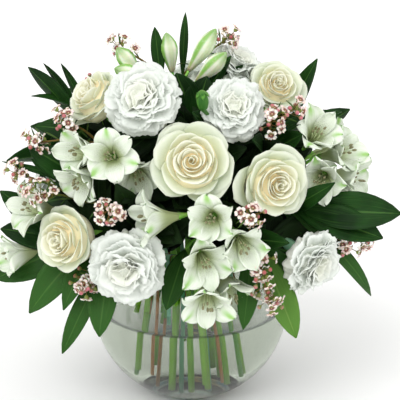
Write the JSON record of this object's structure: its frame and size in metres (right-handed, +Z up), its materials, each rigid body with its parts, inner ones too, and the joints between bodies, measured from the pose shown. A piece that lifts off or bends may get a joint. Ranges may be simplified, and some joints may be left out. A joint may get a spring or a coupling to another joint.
{
  "type": "floral table centerpiece",
  "caption": "Round clear glass bowl of water holding a low domed bouquet of white roses, carnations, alstroemeria and wax flowers among dark glossy leaves.",
  "frame": {"origin": "centre of the bowl's flat base, on the table", "axes": "+Z up through the bowl's mouth; -Y towards the side of the bouquet that is seen first; +X to its right"},
  "size_m": [0.3563, 0.2647, 0.349],
  "materials": {
    "glass": "clear, polished",
    "water": "clear water",
    "rose_petal": "soft satin petal, cream white with a peach heart",
    "carnation_petal": "soft matte petal, pure white",
    "alstroemeria_petal": "thin satin petal, white with green tips, on green stalks",
    "wax_flower": "waxy small petals, pale pink, on olive twigs",
    "leaf": "glossy dark green leaf",
    "rose_stem": "satin green stem",
    "carnation_stem": "waxy grey-green stem"
  },
  "bodies": {
    "root": {"vase": "glass", "water": "water", "alstroemeria_back_left": "alstroemeria_petal", "alstroemeria_back_right": "alstroemeria_petal", "alstroemeria_centre": "alstroemeria_petal", "alstroemeria_far_left": "alstroemeria_petal", "alstroemeria_far_right": "alstroemeria_petal", "alstroemeria_left": "alstroemeria_petal", "alstroemeria_low": "alstroemeria_petal", "alstroemeria_right": "alstroemeria_petal", "alstroemeria_top": "alstroemeria_petal", "carnation_back": "carnation_petal", "carnation_back_left": "carnation_petal", "carnation_back_left_stem": "carnation_stem", "carnation_back_stem": "carnation_stem", "carnation_crown": "carnation_petal", "carnation_crown_stem": "carnation_stem", "carnation_low_left": "carnation_petal", "carnation_low_left_stem": "carnation_stem", "carnation_low_right": "carnation_petal", "carnation_low_right_stem": "carnation_stem", "carnation_upper_left": "carnation_petal", "carnation_upper_left_stem": "carnation_stem", "carnation_upper_right": "carnation_petal", "carnation_upper_right_stem": "carnation_stem", "rose_back_left": "rose_petal", "rose_back_left_stem": "rose_stem", "rose_back_low": "rose_petal", "rose_back_low_stem": "rose_stem", "rose_back_right": "rose_petal", "rose_back_right_stem": "rose_stem", "rose_front": "rose_petal", "rose_front_stem": "rose_stem", "rose_left": "rose_petal", "rose_left_stem": "rose_stem", "rose_right": "rose_petal", "rose_right_stem": "rose_stem", "rose_upper_left": "rose_petal", "rose_upper_left_stem": "rose_stem", "rose_upper_right": "rose_petal", "rose_upper_right_stem": "rose_stem", "ruscus_back_left": "leaf", "ruscus_back_right": "leaf", "ruscus_crown": "leaf", "ruscus_left": "leaf", "ruscus_low": "leaf", "ruscus_low_left": "leaf", "ruscus_low_right": "leaf", "ruscus_right": "leaf", "ruscus_upper_left": "leaf", "ruscus_upper_right": "leaf", "wax_back": "wax_flower", "wax_centre": "wax_flower", "wax_far_right": "wax_flower", "wax_left": "wax_flower", "wax_low_left": "wax_flower", "wax_right": "wax_flower", "wax_top": "wax_flower", "wax_upper_right": "wax_flower"}
  },
  "joints": []
}
